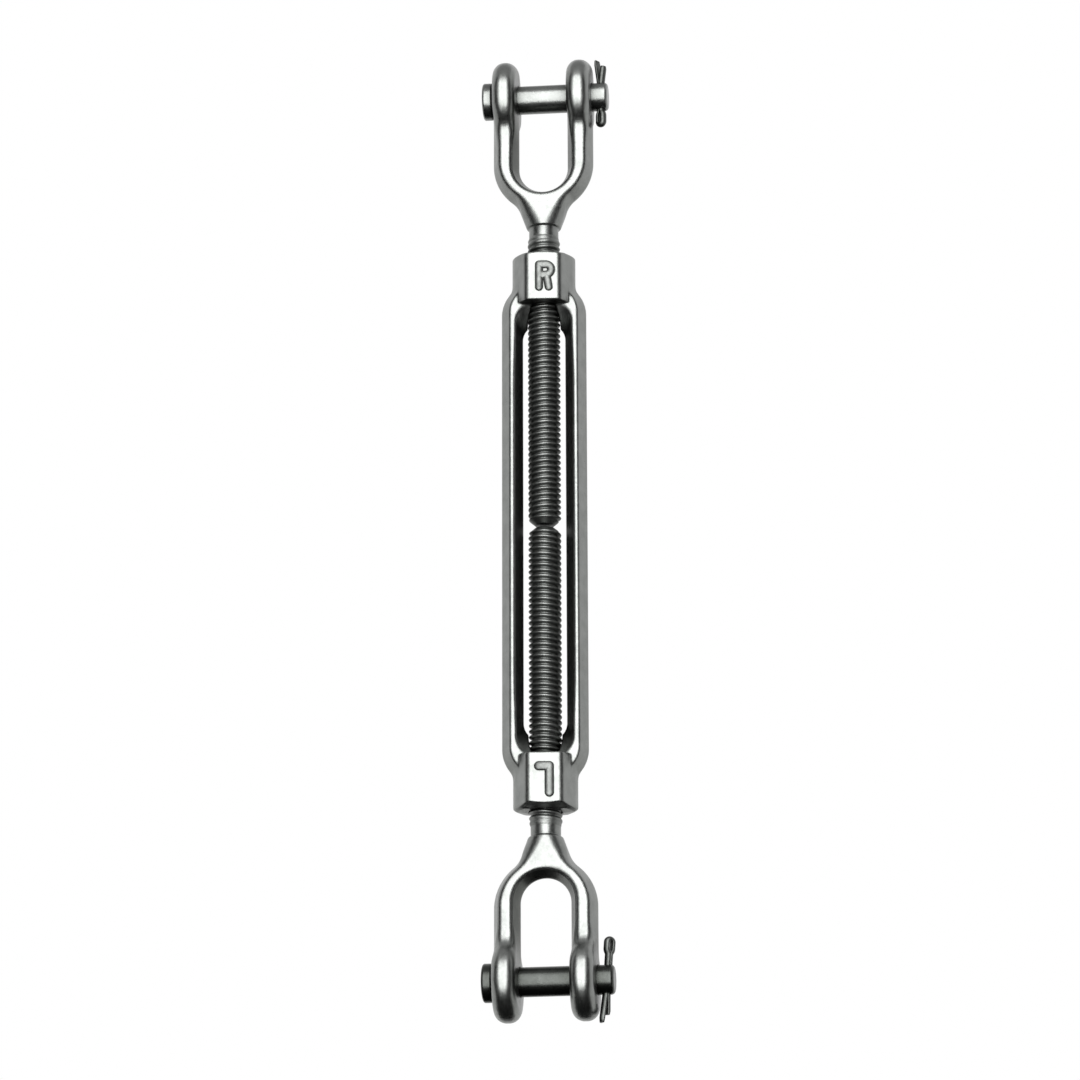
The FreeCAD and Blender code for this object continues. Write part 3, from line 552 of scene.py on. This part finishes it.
def zinc_coat(name, clean, dull, smooth, rough, grain_height):
    """Zinc that ran over steel and set: satin, with soft patches and a fine grain.

    The eye sees broad soft highlights whose edges break up into specks. Corners and recesses
    get painted shade, near black, and faces that a mask marks get a painted duller grey shade.
    """
    material = bpy.data.materials.new(name)
    material.use_nodes = True
    tree = material.node_tree
    shader = tree.nodes["Principled BSDF"]
    shader.inputs["Metallic"].default_value = 1.0
    spot = add_node(tree, "ShaderNodeTexCoord").outputs["Object"]
    patches = add_node(tree, "ShaderNodeTexNoise", {
        "Vector": spot, "Scale": 1 / (PATCH_SIZE * MM), "Detail": 4.0, "Roughness": 0.6,
    }).outputs["Fac"]
    grain = add_node(tree, "ShaderNodeTexNoise", {
        "Vector": spot, "Scale": 1 / (GRAIN_SIZE * MM), "Detail": 3.0, "Roughness": 0.6,
    }).outputs["Fac"]
    ripple = add_node(tree, "ShaderNodeTexNoise", {
        "Vector": spot, "Scale": 1 / (RIPPLE_SIZE * MM), "Detail": 2.0, "Roughness": 0.5,
    }).outputs["Fac"]
    patch_share = add_node(tree, "ShaderNodeMapRange", {
        "Value": patches, "From Min": PATCH_START, "From Max": PATCH_FULL,
    }).outputs["Result"]
    colour = add_node(tree, "ShaderNodeMix", {
        "Factor": patch_share, "A": linear(clean), "B": linear(dull),
    }, data_type="RGBA").outputs["Result"]
    # Painted shade: ambient occlusion darkens the colour towards near black in corners and recesses
    open_share = add_node(tree, "ShaderNodeAmbientOcclusion", {
        "Distance": PAINTED_SHADE_REACH * MM,
    }, samples=8).outputs["AO"]
    unshaded_share = add_node(tree, "ShaderNodeMapRange", {
        "Value": open_share, "From Min": PAINTED_SHADE_FULL, "From Max": PAINTED_SHADE_GONE,
    }).outputs["Result"]
    coat = add_node(tree, "ShaderNodeMix", {
        "Factor": unshaded_share, "A": linear(PAINTED_SHADE_COLOUR), "B": colour,
    }, data_type="RGBA").outputs["Result"]
    # Painted shade: the faces that the mask marks turn a duller grey
    inner_shade = add_node(tree, "ShaderNodeAttribute", attribute_name="inner_shade").outputs["Fac"]
    coat = add_node(tree, "ShaderNodeMix", {
        "Factor": inner_shade, "A": coat, "B": linear(INNER_SHADE_GREY),
    }, data_type="RGBA").outputs["Result"]
    tree.links.new(coat, shader.inputs["Base Color"])
    speck = add_node(tree, "ShaderNodeMapRange", {
        "Value": grain, "From Min": 0.3, "From Max": 0.7, "To Min": smooth, "To Max": rough,
    }).outputs["Result"]
    tree.links.new(speck, shader.inputs["Roughness"])
    fine = add_node(tree, "ShaderNodeBump", {
        "Height": grain, "Strength": 1.0, "Distance": grain_height * MM,
    }).outputs["Normal"]
    waves = add_node(tree, "ShaderNodeBump", {
        "Height": ripple, "Strength": 1.0, "Distance": RIPPLE_HEIGHT * MM, "Normal": fine,
    }).outputs["Normal"]
    tree.links.new(waves, shader.inputs["Normal"])
    return material


# Steel drop forgings dipped in molten zinc: satin grey with broad soft highlights
forging_zinc = zinc_coat("hot_dip_zinc_on_forging", "#888a88", "#7c7e7c", 0.27, 0.39, 0.012)
# The same coat on the threads, rougher, so each crest shows a softer line of light
thread_zinc = zinc_coat("hot_dip_zinc_on_thread", "#868886", "#707270", 0.36, 0.5, 0.01)
# Zinc that pooled round the raised letters: duller and grainier than the flat beside it
mark_zinc = zinc_coat("pooled_zinc_on_raised_mark", "#767876", "#626462", 0.34, 0.5, 0.02)
# Turned steel with a thin zinc coat: smoother, so its highlights are narrow and crisp
pin_zinc = zinc_coat("bright_zinc_on_turned_pin", "#888a88", "#7e807e", 0.26, 0.36, 0.004)
# The lower pin gets painted shade: its coat is as smooth as the upper pin's, but painted much
# darker
shaded_lower_pin_zinc = zinc_coat("shaded_zinc_on_lower_pin", "#4a4c4a", "#404240", 0.26, 0.36, 0.004)
# Drawn half-round wire: dark grey with only a thin soft line of light
wire_zinc = zinc_coat("grey_zinc_on_cotter_wire", "#606260", "#505250", 0.35, 0.5, 0.004)


# Pieces: each skin's box, in millimetres, reaches a little past its shape

BODY_BOX, BODY_STEP = ((-11.1, -7.7, -72.3), (11.1, 7.7, 72.3)), 0.3
JAW_BOX, JAW_STEP = ((-13.1, -10.3, -10.3), (13.1, 10.3, 39.6)), 0.23
PIN_BOX, PIN_STEP = ((-15.3, -5.0, -5.0), (16.6, 5.0, 5.0)), 0.2
MARK_BOX, MARK_STEP = ((-2.9, -7.6, -4.7), (3.0, -6.3, 4.7)), 0.1
R_PLACE = (0.5, 0, 62.7)
L_PLACE = (-0.1, 0, -63.4)

body_place = place(BODY_HEIGHT, BODY_TURN)
lower_place = place(0, 0)
upper_place = place(UPPER_HEIGHT, UPPER_TURN, upside_down=True)

points, quads = skin(body_shape, *BODY_BOX, BODY_STEP)
body = new_piece("forged_body", points, quads, body_place, forging_zinc)
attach(body, "barrel")
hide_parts("turnbuckle_body")

points, quads = skin(jaw_shape, *JAW_BOX, JAW_STEP)
x, y, z = np.asarray(points).T
outer, gap = jaw_outline(x, z)
# Painted shade mask: the fork's inner faces between the ears, which the material paints a duller
# grey
between_ears = ease(gap - outer, -0.4, 0.4) * ease(-jaw_side(y, z), 0.3, 1.2) * ease(z, -9, 2)
for name, where, hand in (("lower_jaw", lower_place, -1), ("upper_jaw", upper_place, 1)):
    fork = new_piece(f"forged_{name}", points, quads, where, forging_zinc, between_ears)
    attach(fork, name)
    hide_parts(name)
    vertices, faces = screw(hand)
    shank = new_piece(f"screw_of_{name}", vertices, faces, where, thread_zinc)
    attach(shank, name)

# The marks show the hand of the thread: each reads upright from its own end of the body
for name, letter, middle, turn in (
    ("right_hand_mark", right_mark, R_PLACE, 0),
    ("left_hand_mark", left_mark, L_PLACE, math.pi),
):
    points, quads = skin(letter, *MARK_BOX, MARK_STEP)
    spin = Matrix.Translation(middle) @ Matrix.Rotation(turn, 4, "Y")
    mark = new_piece(name, points, quads, body_place @ spin, mark_zinc)
    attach(mark, "barrel")

points, quads = skin(pin_shape, *PIN_BOX, PIN_STEP)
for end, where, finish in (
    ("lower", lower_place, shaded_lower_pin_zinc), ("upper", upper_place, pin_zinc),
):
    pin = new_piece(f"turned_{end}_pin", points, quads, where, finish)
    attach(pin, f"{end}_pin")
    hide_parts(f"{end}_clevis_pin")

# Foot of the eye and reach of the shorter leg in millimetres, then the legs' spread, the
# cotter's turn in its hole and its lean in degrees
for end, where, foot, reach, spread, turn, lean in (
    ("lower", lower_place, 5.9, 8.2, 4, 35, 4), ("upper", upper_place, 3.6, 8.0, 9, 35, 0),
):
    vertices, faces = cotter(foot, reach, math.radians(spread))
    tilt = Matrix.Rotation(math.radians(lean), 4, "Y") @ Matrix.Rotation(math.radians(turn), 4, "Z")
    shift = Matrix.Translation((COTTER_PLACE, 0, 0)) @ tilt
    wire = new_piece(f"bent_{end}_cotter", vertices, faces, where @ shift, wire_zinc)
    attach(wire, f"{end}_pin")
    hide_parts(f"{end}_cotter_pin")

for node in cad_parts.values():
    node.data.materials.clear()
    node.data.materials.append(forging_zinc)


# Studio


def emitter(name, level):
    """A card that reflections see at one even level of light."""
    material = bpy.data.materials.new(name)
    material.use_nodes = True
    tree = material.node_tree
    tree.nodes.clear()
    glow = add_node(tree, "ShaderNodeEmission", {"Color": (1, 1, 1, 1), "Strength": level})
    add_node(tree, "ShaderNodeOutputMaterial", {"Surface": glow.outputs["Emission"]})
    return material


def card(name, corners, material):
    """A flat card that only reflections see."""
    piece = new_piece(name, corners, [tuple(range(len(corners)))], Matrix.Identity(4), material)
    piece.visible_camera = False
    piece.visible_diffuse = False
    piece.visible_transmission = False
    piece.visible_shadow = False
    return piece


def around(azimuth, distance, height):
    """A point at an azimuth from the front, a distance from the screw axis, and a height."""
    angle = math.radians(azimuth)
    return (distance * math.sin(angle), -distance * math.cos(angle), height)


# Sizes in the studio are in metres and degrees. Black cards to both sides and below give the
# dark flanks and undersides of the photograph; the grey one above calms the upward faces.
CARD_NEAR, CARD_FAR, CARD_DISTANCE = 36, 80, 1.25
CARD_FOOT, CARD_TOP = -1.3, 2.2
# The floor glows for the camera and for reflections, so that it stays near white far out
FLOOR_REACH = 60.0
FLOOR_GLOW = 0.4
FLOOR_HEIGHT = -1.5
LOW_CARD_RADIUS, LOW_CARD_HEIGHT = 1.6, -0.95
TOP_CARD_RADIUS, TOP_CARD_HEIGHT = 1.15, 1.7
# One tall softbox in front lights the faces that turn to the camera
SOFTBOX_WIDTH, SOFTBOX_HEIGHT = 1.2, 3.1
SOFTBOX_PLACE = (0.1, -1.6, 0.55)
SOFTBOX_RADIANCE = 4.6
# The white surroundings, as they light the piece and as the camera and reflections see them
SKY_LIGHT, SKY_SEEN = 0.6, 1.0
black = emitter("black_card", 0.015)
grey = emitter("grey_card", 0.5)
for side in (1, -1):
    card(f"side_card_{side}", [
        around(side * CARD_NEAR, CARD_DISTANCE, CARD_FOOT),
        around(side * CARD_FAR, CARD_DISTANCE, CARD_FOOT),
        around(side * CARD_FAR, CARD_DISTANCE, CARD_TOP),
        around(side * CARD_NEAR, CARD_DISTANCE, CARD_TOP),
    ], black)
card("low_card", [
    around(a, LOW_CARD_RADIUS, LOW_CARD_HEIGHT) for a in range(0, 360, 30)
], black)
card("top_card", [
    around(a, TOP_CARD_RADIUS, TOP_CARD_HEIGHT) for a in range(0, 360, 30)
], grey)

softbox = bpy.data.lights.new("front_softbox", "AREA")
softbox.shape = "RECTANGLE"
softbox.size = SOFTBOX_WIDTH
softbox.size_y = SOFTBOX_HEIGHT
softbox.energy = SOFTBOX_RADIANCE * math.pi * softbox.size * softbox.size_y
front = bpy.data.objects.new("front_softbox", softbox)
front.location = SOFTBOX_PLACE
front.rotation_euler = (math.radians(90), 0, 0)
front.visible_camera = False
bpy.context.scene.collection.objects.link(front)

world = bpy.data.worlds.new("white_surroundings")
bpy.context.scene.world = world
world.use_nodes = True
tree = world.node_tree
tree.nodes.clear()
path = add_node(tree, "ShaderNodeLightPath")
seen = add_node(tree, "ShaderNodeMath", {
    0: path.outputs["Is Camera Ray"], 1: path.outputs["Is Glossy Ray"],
}, operation="MAXIMUM").outputs[0]
seen = add_node(tree, "ShaderNodeMath", {
    0: seen, 1: path.outputs["Is Transmission Ray"],
}, operation="MAXIMUM").outputs[0]
strength = add_node(tree, "ShaderNodeMapRange", {
    "Value": seen, "To Min": SKY_LIGHT, "To Max": SKY_SEEN,
})
sky = add_node(tree, "ShaderNodeBackground", {
    "Color": (1, 1, 1, 1), "Strength": strength.outputs["Result"],
})
add_node(tree, "ShaderNodeOutputWorld", {"Surface": sky.outputs["Background"]})

floor_paint = bpy.data.materials.new("pale_floor_paint")
floor_paint.use_nodes = True
tree = floor_paint.node_tree
paint = tree.nodes["Principled BSDF"]
paint.inputs["Base Color"].default_value = linear("#f2f2f0")
paint.inputs["Roughness"].default_value = 0.9
paint.inputs["Emission Color"].default_value = (1, 1, 1, 1)
path = add_node(tree, "ShaderNodeLightPath").outputs
seen = add_node(tree, "ShaderNodeMath", {
    0: path["Is Camera Ray"], 1: path["Is Glossy Ray"],
}, operation="MAXIMUM").outputs[0]
seen = add_node(tree, "ShaderNodeMath", {0: seen, 1: FLOOR_GLOW}, operation="MULTIPLY").outputs[0]
tree.links.new(seen, paint.inputs["Emission Strength"])
edge = FLOOR_REACH
floor = new_piece("studio_floor", [
    (-edge, -edge, FLOOR_HEIGHT), (edge, -edge, FLOOR_HEIGHT),
    (edge, edge, FLOOR_HEIGHT), (-edge, edge, FLOOR_HEIGHT),
], [(0, 1, 2, 3)], Matrix.Identity(4), floor_paint)

# Camera: low in front of the piece and a little to its right, square to the photograph's frame

LENS_PIXELS = 4435
FRAME_PIXELS = 1080
CAMERA_DISTANCE = 1.067
AIM_X, AIM_HEIGHT = -0.00118, 0.10785
azimuth, elevation, roll = math.radians(7.85), math.radians(-17.0), math.radians(-0.178)
back = Vector((
    math.sin(azimuth) * math.cos(elevation),
    -math.cos(azimuth) * math.cos(elevation),
    math.sin(elevation),
))
right = Vector((0, 0, 1)).cross(back).normalized()
up = back.cross(right)
right, up = (
    right * math.cos(roll) + up * math.sin(roll),
    up * math.cos(roll) - right * math.sin(roll),
)
lens = bpy.data.cameras.new("camera")
lens.lens = lens.sensor_width * LENS_PIXELS / FRAME_PIXELS
camera = bpy.data.objects.new("camera", lens)
camera.matrix_world = Matrix((
    (right.x, up.x, back.x, AIM_X + back.x * CAMERA_DISTANCE),
    (right.y, up.y, back.y, back.y * CAMERA_DISTANCE),
    (right.z, up.z, back.z, AIM_HEIGHT + back.z * CAMERA_DISTANCE),
    (0, 0, 0, 1),
))
bpy.context.scene.collection.objects.link(camera)
bpy.context.scene.camera = camera
bpy.context.scene.view_settings.view_transform = "Standard"
